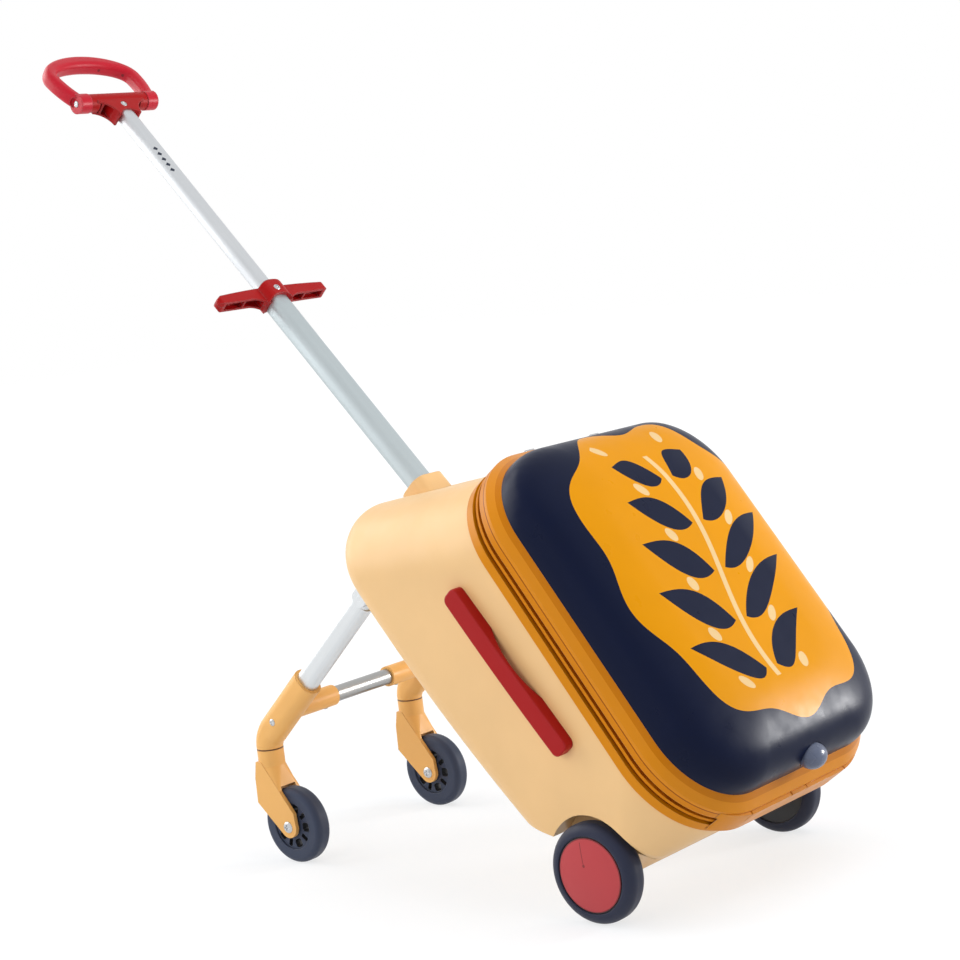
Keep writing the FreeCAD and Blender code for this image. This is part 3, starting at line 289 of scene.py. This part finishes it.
def gate_mark_and_edge_shade(tree, place, colour):
    """Darker mould line and dot on the cap, and painted shade on its outer edge, in millimetres from the
    axle.
    """
    spread = measured(tree, place, axle_place, 0)
    y, z = spread[1], spread[2]
    run = math.dist(gate_start, gate_dot)
    way = [(b - a) / run for a, b in zip(gate_start, gate_dot)]
    from_y = calc(tree, "SUBTRACT", y, gate_start[0])
    from_z = calc(tree, "SUBTRACT", z, gate_start[1])
    ahead = calc(tree, "MULTIPLY_ADD", from_y, way[0], calc(tree, "MULTIPLY", from_z, way[1]))
    aside = calc(tree, "MULTIPLY_ADD", from_y, way[1], calc(tree, "MULTIPLY", from_z, -way[0]))
    beside = calc(tree, "LESS_THAN", calc(tree, "ABSOLUTE", aside), gate_half_width)
    line = calc(tree, "MULTIPLY", between(tree, ahead, 0, run), beside)
    past = calc(tree, "SUBTRACT", ahead, run)
    dot = calc(tree, "ADD", calc(tree, "POWER", past, 2), calc(tree, "POWER", aside, 2))
    mark = calc(tree, "MAXIMUM", line, calc(tree, "LESS_THAN", dot, gate_dot_r**2))
    out = calc(tree, "ADD", calc(tree, "POWER", y, 2), calc(tree, "POWER", z, 2))
    # The cap's outer edge is painted darker as shade.
    cap_edge_shade = calc(tree, "GREATER_THAN", out, cap_shade_r**2)
    mark_and_shade_colour = [0.45 * v for v in colour[:3]] + [1]
    return mix_colour(tree, calc(tree, "MAXIMUM", mark, cap_edge_shade), colour, mark_and_shade_colour)


cap_red = moulded_plastic("red_cap", srgb(184, 62, 66), 0.45, paint=gate_mark_and_edge_shade)
dress(cap_red, "left_hub_cap", "right_hub_cap")

# Leg frame
# Two oval aluminium legs swing on hinges behind the tub, with yellow elbow brackets on
# their ends and a round tube across. Cross-headed steel screws hold tube and brackets.
leg_lean = tube_lean + math.radians(90)
leg_metal = drawn_metal("leg_tube", srgb(218, 221, 223), leg_lean, tube_stretch, 0.4)
for side in ("left", "right"):
    for piece in ("tube", "hinge", "hinge_pin", "knuckle"):
        dress(leg_metal, side + "_leg_" + piece)
# Heights of the band painted dark brown as shade in the gap between fork and bracket.
swivel_shade_heights = (123.6, 125.2)


def swivel_gap_shade(tree, place, colour):
    """Painted dark brown shade in the gap where a fork turns under its bracket."""
    height = measured(tree, place, (0, 0, 0), 0)[2]
    return mix_colour(tree, between(tree, height, *swivel_shade_heights), colour, srgb(96, 52, 14))


yellow = moulded_plastic("yellow_bracket", srgb(236, 178, 100), 0.44, paint=swivel_gap_shade)
dress(yellow, "left_caster_bracket", "right_caster_bracket")
cross_stretch = (long_lines, fine_lines, fine_lines)
cross_metal = drawn_metal("cross_tube", srgb(170, 170, 169), 0, cross_stretch, 0.36)
dress(cross_metal, "cross_tube")
dress(steel, "left_swivel_pin", "right_swivel_pin")


def shape(tree, kind, inputs=(), **settings):
    """One geometry node, its sockets fed with values or other sockets."""
    made = tree.nodes.new(kind)
    for name, value in settings.items():
        setattr(made, name, value)
    for name, value in dict(inputs).items():
        for each in value if isinstance(value, list) else [value]:
            feed(tree, made.inputs[name], each)
    return made.outputs[0]


recess_long = 1.1
recess_wide = 0.26
recess_deep = 1.1


def screw_tree():
    """Domed screws with a cross recess and a plain shank, one on each seat."""
    tree = bpy.data.node_groups.new("cross_head_screws", "GeometryNodeTree")
    tree.interface.new_socket("Seats", in_out="INPUT", socket_type="NodeSocketGeometry")
    for name in ("Head radius", "Head height", "Shank radius", "Shank length"):
        tree.interface.new_socket(name, in_out="INPUT", socket_type="NodeSocketFloat")
    tree.interface.new_socket("Metal", in_out="INPUT", socket_type="NodeSocketMaterial")
    tree.interface.new_socket("Screws", in_out="OUTPUT", socket_type="NodeSocketGeometry")
    given = tree.nodes.new("NodeGroupInput").outputs
    head_r, head_h, shank_r, shank = (given[n] for n in range(1, 5))

    def times(value, factor):
        return calc(tree, "MULTIPLY", value, factor)

    def triple(x, y, z):
        return shape(tree, "ShaderNodeCombineXYZ", {"X": x, "Y": y, "Z": z})

    def raised(solid, height):
        by = triple(0.0, 0.0, height)
        return shape(tree, "GeometryNodeTransform", {"Geometry": solid, "Translation": by})

    def joined(operation, **solids):
        given_solids = {name.replace("_", " "): solid for name, solid in solids.items()}
        return shape(tree, "GeometryNodeMeshBoolean", given_solids, operation=operation, solver="EXACT")

    ball = shape(tree, "GeometryNodeMeshUVSphere", {"Segments": 32, "Rings": 16, "Radius": 1.0})
    squashed = triple(head_r, head_r, head_h)
    dome = shape(tree, "GeometryNodeTransform", {"Geometry": ball, "Scale": squashed})
    wide = times(head_r, 4)
    under = shape(tree, "GeometryNodeMeshCube", {"Size": triple(wide, wide, wide)})
    cuts = [raised(under, times(head_r, -2))]
    for x, y in ((recess_long, recess_wide), (recess_wide, recess_long)):
        blade_size = triple(times(head_r, x), times(head_r, y), times(head_h, recess_deep))
        blade = shape(tree, "GeometryNodeMeshCube", {"Size": blade_size})
        cuts.append(raised(blade, head_h))
    head = joined("DIFFERENCE", Mesh_1=dome, Mesh_2=cuts)
    lap = times(head_h, 0.2)
    rod = shape(
        tree,
        "GeometryNodeMeshCylinder",
        {"Vertices": 24, "Radius": shank_r, "Depth": calc(tree, "ADD", shank, lap)},
    )
    rod = raised(rod, times(calc(tree, "SUBTRACT", lap, shank), 0.5))
    screw = joined("UNION", Mesh_2=[head, rod])
    named = "GeometryNodeInputNamedAttribute"
    outward = shape(tree, named, {"Name": "outward"}, data_type="FLOAT_VECTOR")
    facing = shape(tree, "FunctionNodeAlignRotationToVector", {"Vector": outward}, axis="Z")
    share = shape(tree, named, {"Name": "share"}, data_type="FLOAT")
    fixed = shape(
        tree,
        "GeometryNodeInstanceOnPoints",
        {"Points": given[0], "Instance": screw, "Rotation": facing, "Scale": share},
    )
    whole = shape(tree, "GeometryNodeRealizeInstances", {"Geometry": fixed})
    dressed = shape(tree, "GeometryNodeSetMaterial", {"Geometry": whole, "Material": given[5]})
    tree.links.new(dressed, tree.nodes.new("NodeGroupOutput").inputs[0])
    return tree


cross_heads = screw_tree()


def screws(name, seats, sizes, body, replaced):
    """Screws on seats, each a point, the way its head faces and its share of the full size."""
    mesh = bpy.data.meshes.new(name)
    mesh.from_pydata([point for point, _, _ in seats], [], [])
    mesh.attributes.new("outward", "FLOAT_VECTOR", "POINT")
    mesh.attributes.new("share", "FLOAT", "POINT")
    for number, (_, way, size) in enumerate(seats):
        mesh.attributes["outward"].data[number].vector = way
        mesh.attributes["share"].data[number].value = size
    piece = bpy.data.objects.new(name, mesh)
    bpy.context.scene.collection.objects.link(piece)
    heads = piece.modifiers.new("heads", "NODES")
    heads.node_group = cross_heads
    given = dict(zip(("Head radius", "Head height", "Shank radius", "Shank length"), sizes))
    given["Metal"] = steel
    for socket in cross_heads.interface.items_tree:
        if socket.name in given:
            heads[socket.identifier] = given[socket.name]
    graph = bpy.context.evaluated_depsgraph_get()
    finished = bpy.data.meshes.new_from_object(piece.evaluated_get(graph))
    piece.modifiers.clear()
    piece.data = finished
    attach(piece, body)
    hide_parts(replaced)


TUBE = Matrix.Translation(tube_foot) @ Matrix.Rotation(tube_lean, 4, "X")


def tube_seat(x, y, along, way):
    """Seat given in millimetres in the handle tube's frame."""
    return TUBE @ Vector((x / 1000, y / 1000, along / 1000)), TUBE.to_3x3() @ Vector(way)


bracket_side = 126.25
bracket_seat = (265.5, 454)
socket_screw_x = 0.057
socket_screw_share = 0.75
cross_low, cross_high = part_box("cross_tube")
socket_wall = 0.00275
cross_y = (cross_low[1] + cross_high[1]) / 2
bracket_seats = []
for side in (-1, 1):
    bracket_seats.append((*tube_seat(side * bracket_side, *bracket_seat, (side, 0, 0)), 1.0))
    below = Vector((side * socket_screw_x, cross_y, cross_low[2] - socket_wall))
    bracket_seats.append((below, Vector((0, 0, -1)), socket_screw_share))
small_screw = (0.004, 0.0017, 0.0018, 0.003)
screws("bracket_cross_screws", bracket_seats, small_screw, "leg_frame", "bracket_screws")

# Casters
# Yellow forks turn under the elbows. Each wheel is blue grey, tyre and hub alike, and the
# hub's windows between its spokes are painted near black as shade. A domed bolt goes through fork and
# wheel.
dress(yellow, "left_fork", "right_fork")
blue_grey = srgb(50, 58, 78)
dress(rubber("caster_tyre", blue_grey), "left_caster_tyre", "right_caster_tyre")
caster_x = 113
spoke_face = 7.4


def window_shade(tree, place, colour):
    """Painted shade, near black, in the depth of the hub's windows."""
    across = calc(tree, "ABSOLUTE", measured(tree, place, (0, 0, 0), 0)[0])
    from_middle = calc(tree, "ABSOLUTE", calc(tree, "SUBTRACT", across, caster_x))
    inside = calc(tree, "LESS_THAN", from_middle, spoke_face)
    return mix_colour(tree, inside, colour, srgb(14, 15, 20))


dress(rubber("caster_hub", blue_grey, paint=window_shade), "left_caster_hub", "right_caster_hub")
bolt_size = (0.0065, 0.0026, 0.004, 0.0152)
for side, name in ((-1, "left"), (1, "right")):
    low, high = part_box(name + "_caster_bolt")
    middle = (Vector(low) + Vector(high)) / 2
    reach = Vector((bolt_size[3], 0, 0))
    ends = [(middle + reach, Vector((1, 0, 0)), 1.0), (middle - reach, Vector((-1, 0, 0)), 1.0)]
    screws(name + "_caster_domed_bolt", ends, bolt_size, name + "_caster", name + "_caster_bolt")

# Telescopic handle
# Two aluminium tubes run in each other. The lower one ends in a red cross grip, the upper
# one in a red base that carries a tilting loop on two screws. Five small diamonds are
# printed on the upper tube, and ejector pins left three dots inside the loop.
mark_x = -4.5
mark_low, mark_high = 1018, 1063
mark_pitch = 9
mark_half = 3.3
mark_colour = srgb(62, 68, 82)


def tube_marks(tree, place, colour):
    """Row of dark diamonds on the rear face of the tube."""
    across, off, along = measured(tree, place, tube_foot, tube_lean)
    x = calc(tree, "ABSOLUTE", calc(tree, "SUBTRACT", across, mark_x))
    start = calc(tree, "SUBTRACT", along, mark_low + mark_pitch / 2)
    u = calc(tree, "ABSOLUTE", calc(tree, "WRAP", start, mark_pitch / 2, -mark_pitch / 2))
    diamond = calc(tree, "LESS_THAN", calc(tree, "ADD", x, u), mark_half)
    row = between(tree, along, mark_low, mark_high)
    rear = calc(tree, "MULTIPLY", calc(tree, "LESS_THAN", off, 0), row)
    return mix_colour(tree, calc(tree, "MULTIPLY", diamond, rear), colour, mark_colour)


dress(tube_metal, "lower_tube")
upper_silver = srgb(208, 211, 214)
upper_metal = drawn_metal("upper_tube", upper_silver, tube_lean, tube_stretch, 0.5, tube_marks)
dress(upper_metal, "upper_tube")
dress(black, "lower_glide", "upper_bush", "upper_glide")
dress(red, "crossbar_front", "crossbar_rear", "handle_base")
grip_at = 1147
loop_lean = tube_lean + math.radians(-6)
loop_pivot = TUBE @ Vector((0, 0, grip_at / 1000))
pin_dots = ((-44, 56.1), (22, 63.2), (50, 51.6))
pin_dot_r = 1.8


def pin_marks(tree, place, colour):
    """Small dark dots that ejector pins left inside the loop."""
    across, off, up = measured(tree, place, loop_pivot, loop_lean)
    squared_off = calc(tree, "POWER", off, 2)
    marks = 0.0
    for x, z in pin_dots:
        dx = calc(tree, "POWER", calc(tree, "SUBTRACT", across, x), 2)
        dz = calc(tree, "POWER", calc(tree, "SUBTRACT", up, z), 2)
        reach = calc(tree, "ADD", calc(tree, "ADD", dx, dz), squared_off)
        dot = calc(tree, "LESS_THAN", reach, pin_dot_r**2)
        marks = calc(tree, "MAXIMUM", marks, dot)
    return mix_colour(tree, marks, colour, [0.4 * v for v in colour[:3]] + [1])


loop_colour = srgb(188, 18, 40)
loop_red = moulded_plastic("red_loop", loop_colour, 0.36, shine=0.3, paint=pin_marks, edge=0.002)
dress(loop_red, "handle_loop")
rearward = (0, -1, 0)
collar_face = (0, -15, 821)
collar_seat = [(*tube_seat(*collar_face, rearward), 1.0)]
screws("crossbar_cross_screw", collar_seat, small_screw, "lower_stage", "crossbar_screws")
base_face = (0, -8.74, 1134)
base_seat = [(*tube_seat(*base_face, rearward), 1.0)]
screws("base_cross_screw", base_seat, small_screw, "upper_stage", "handle_base_screw")
pivot_size = (0.0038, 0.0013, 0.003, 0.0383)
loop_end = 57.3
pivot_seats = [(*tube_seat(side * loop_end, 0, grip_at, (side, 0, 0)), 1.0) for side in (-1, 1)]
screws("pivot_cross_screws", pivot_seats, pivot_size, "upper_stage", "loop_pivot_screws")

# Lid
# A navy crowned shell in an orange rim, hinged at the top end. A print lies on the crown: a
# wavy-edged orange field with navy leaves, a peach stem and peach dots.
dress(steel, "body_hinge_leaves", "lid_hinge_leaves", "lid_hinge_pins")
lip_top = 28.4
groove_shade_top = 29.6
lit_band_top = 41.0


def rim_bands(tree, place, colour):
    """Painted bands by millimetres off the tub's edge: a dark line as groove shade above the lip, a paler
    band as light on the rim's face, and a darker bead as shade on its edge.
    """
    off_seam = measured(tree, place, seam_place, seam_lean)[2]
    # A dark line is painted as groove shade, a paler band as light on the rim's face, and a darker bead as
    # shade on its edge.
    line = between(tree, off_seam, lip_top, groove_shade_top)
    lit_band = between(tree, off_seam, groove_shade_top, lit_band_top)
    shaded_bead = calc(tree, "GREATER_THAN", off_seam, lit_band_top)
    painted = mix_colour(tree, line, colour, srgb(146, 72, 0))
    painted = mix_colour(tree, lit_band, painted, srgb(214, 134, 22))
    return mix_colour(tree, shaded_bead, painted, srgb(196, 116, 0))


lip_orange = srgb(208, 126, 2)
lid_orange = moulded_plastic("orange_lid_rim", lip_orange, 0.34, grain=0.06, shine=0.15, paint=rim_bands)
dress(lid_orange, "lid_rim")
navy_paint = srgb(6, 16, 44)
orange_paint = srgb(224, 148, 0)
peach_paint = srgb(232, 198, 143)
field_middle = (14, 14)
field_half = (140, 168)
field_corner = 2.6
edge_waves = 9
edge_wave = 0.04
edge_turn = 0.6
inner_share = 0.93
leaf_pitch = 54
leaf_rows = 5
leaf_rise = 0.55
leaf_reach = 92
leaf_belly = 96
leaf_start = 9
leaf_middle = 8
leaf_fade = 190
stem_bend = 0.0185
stem_swing = 20
stem_aside = 10
stem_half_width = 3.4
stem_half_run = 128
dot_at = 48
dot_r = 7


def lid_print(tree, place, colour):
    """Colour of the printed crown, in millimetres across and up the lid."""

    def do(operation, *values):
        return calc(tree, operation, *values)

    across, up, _ = measured(tree, place, seam_place, seam_lean)
    field_x = do("DIVIDE", do("SUBTRACT", across, field_middle[0]), field_half[0])
    field_y = do("DIVIDE", do("SUBTRACT", up, field_middle[1]), field_half[1])
    squared = [do("POWER", do("ABSOLUTE", v), field_corner) for v in (field_x, field_y)]
    reach = do("POWER", do("ADD", *squared), 1 / field_corner)
    around = do("MULTIPLY_ADD", do("ARCTAN2", field_y, field_x), edge_waves, edge_turn)
    edge = do("MULTIPLY_ADD", do("SINE", around), edge_wave, reach)
    field = do("LESS_THAN", edge, 1)
    inner = do("LESS_THAN", edge, inner_share)
    stem_x = do("MULTIPLY_ADD", do("SINE", do("MULTIPLY", up, stem_bend)), stem_swing, stem_aside)
    side = do("ABSOLUTE", do("SUBTRACT", across, stem_x))
    swept = do("MULTIPLY_ADD", side, -leaf_rise, up)
    row = do("ABSOLUTE", do("WRAP", swept, leaf_pitch / 2, -leaf_pitch / 2))
    gap = do("WRAP", do("ADD", swept, leaf_pitch / 2), leaf_pitch / 2, -leaf_pitch / 2)
    taper = do("POWER", do("DIVIDE", do("SUBTRACT", up, leaf_middle), leaf_fade), 2)
    length = do("MULTIPLY_ADD", taper, -leaf_reach, leaf_reach)
    share = do("DIVIDE", do("SUBTRACT", side, leaf_start), length)
    belly = do("MULTIPLY", share, do("SUBTRACT", 1, share))
    width = do("MULTIPLY", belly, do("MULTIPLY_ADD", share, -leaf_belly / 2, leaf_belly))
    grown = do("LESS_THAN", do("ABSOLUTE", swept), leaf_rows * leaf_pitch / 2)
    leaf = do("MULTIPLY", do("LESS_THAN", row, width), do("MULTIPLY", inner, grown))
    run = do("LESS_THAN", do("ABSOLUTE", do("SUBTRACT", up, field_middle[1])), stem_half_run)
    stem = do("MULTIPLY", do("LESS_THAN", side, stem_half_width), run)
    from_dot = do("ADD", do("POWER", do("SUBTRACT", side, dot_at), 2), do("POWER", do("ABSOLUTE", gap), 2))
    dot = do("MULTIPLY", do("LESS_THAN", from_dot, dot_r**2), inner)
    painted = mix_colour(tree, field, colour, orange_paint)
    painted = mix_colour(tree, leaf, painted, colour)
    return mix_colour(tree, do("MAXIMUM", stem, dot), painted, peach_paint)


printed = moulded_plastic(
    "printed_lid", navy_paint, 0.32, grain=0.08, edge_light=0.05, shine=0.12, paint=lid_print
)
dress(printed, "lid_shell")
knob_blue = srgb(88, 96, 118)
knob_plastic = moulded_plastic("navy_knob", knob_blue, 0.28, grain=0.05, edge_light=0.2, shine=0.5)
dress(knob_plastic, "latch_knob")
dress(orange, "latch_cover")
dress(black, "latch_cup")

# Floor, light and camera
# A plain white floor that keeps the object's shadow near it, under a white surround. A soft
# lamp stands at the front left, one hangs over the lid, and weaker ones fill from the sides.
floor_mesh = bpy.data.meshes.new("floor")
floor_half = 9
floor_corners = [(x * floor_half, y * floor_half, 0) for x, y in ((-1, -1), (1, -1), (1, 1), (-1, 1))]
floor_mesh.from_pydata(floor_corners, [], [(0, 1, 2, 3)])
floor = bpy.data.objects.new("floor", floor_mesh)
bpy.context.scene.collection.objects.link(floor)


def seen_rays(tree):
    """1 for rays from the eye, also by way of a mirror or glass."""
    ray = step(tree, "LightPath")
    seen = calc(tree, "MAXIMUM", ray.outputs["Is Camera Ray"], ray.outputs["Is Glossy Ray"])
    return calc(tree, "MAXIMUM", seen, ray.outputs["Is Transmission Ray"])


floor_paint = bpy.data.materials.new("white_floor")
floor_paint.use_nodes = True
floor_tree = floor_paint.node_tree
floor_shader = floor_tree.nodes["Principled BSDF"]
floor_shader.inputs["Base Color"].default_value = (0.86, 0.9, 0.95, 1)
floor_shader.inputs["Roughness"].default_value = 0.9
floor_shader.inputs["Specular IOR Level"].default_value = 0
away = step(floor_tree, "VectorMath", operation="LENGTH")
floor_tree.links.new(step(floor_tree, "TexCoord").outputs["Object"], away.inputs[0])
fade = step(floor_tree, "MapRange", from_min=0.45, from_max=1.0, to_min=0.66, to_max=1.0)
floor_tree.links.new(away.outputs["Value"], fade.inputs["Value"])
glow = step(floor_tree, "Emission", strength=1.08)
blend = step(floor_tree, "MixShader")
shown = calc(floor_tree, "MULTIPLY", fade.outputs["Result"], seen_rays(floor_tree))
floor_tree.links.new(shown, blend.inputs[0])
floor_tree.links.new(floor_shader.outputs[0], blend.inputs[1])
floor_tree.links.new(glow.outputs[0], blend.inputs[2])
floor_tree.links.new(blend.outputs[0], floor_tree.nodes["Material Output"].inputs["Surface"])
floor_mesh.materials.append(floor_paint)

world = bpy.data.worlds.new("white_surround")
bpy.context.scene.world = world
world.use_nodes = True
world_tree = world.node_tree
sky = world_tree.nodes["Background"]
sky.inputs["Color"].default_value = (1, 1, 1, 1)
level = step(world_tree, "MapRange", to_min=0.3, to_max=1.0)
world_tree.links.new(seen_rays(world_tree), level.inputs["Value"])
world_tree.links.new(level.outputs["Result"], sky.inputs["Strength"])

lit_point = Vector((0, 0, 0.3))


def soft_lamp(name, place, size, power, mirrored=True):
    """Square soft lamp that looks at the middle of the object, seen or not in its gloss."""
    lamp = bpy.data.lights.new(name, "AREA")
    lamp.size = size
    lamp.energy = power
    made = bpy.data.objects.new(name, lamp)
    bpy.context.scene.collection.objects.link(made)
    made.visible_glossy = mirrored
    made.location = place
    made.rotation_mode = "QUATERNION"
    made.rotation_quaternion = (lit_point - Vector(place)).to_track_quat("-Z", "Y")


soft_lamp("front", (-0.7, 2.0, 1.5), 2.4, 42)
soft_lamp("over_lid", (0.3, -1.2, 2.5), 1.6, 32, mirrored=False)
soft_lamp("low_right", (1.7, -1.55, 0.55), 0.45, 26)
soft_lamp("left_side", (-2.2, -0.2, 1.2), 1.5, 18, mirrored=False)

yaw, pitch, roll = (math.radians(v) for v in (-48.3283, -6.7779, -6.6916))
flat_ahead = Vector((-math.sin(yaw), math.cos(yaw), 0))
ahead = flat_ahead * math.cos(pitch) + Vector((0, 0, math.sin(pitch)))
level_right = ahead.cross(Vector((0, 0, 1))).normalized()
level_up = level_right.cross(ahead)
right = level_right * math.cos(roll) + level_up * math.sin(roll)
up = level_up * math.cos(roll) - level_right * math.sin(roll)
lens = bpy.data.cameras.new("camera")
lens.sensor_width = 36
lens.lens = 83.316
camera = bpy.data.objects.new("camera", lens)
bpy.context.scene.collection.objects.link(camera)
camera_place = Matrix.Translation((-1.7120, -1.6104, 0.6710))
camera.matrix_world = camera_place @ Matrix((right, up, -ahead)).transposed().to_4x4()
bpy.context.scene.camera = camera
bpy.context.scene.view_settings.view_transform = "Standard"
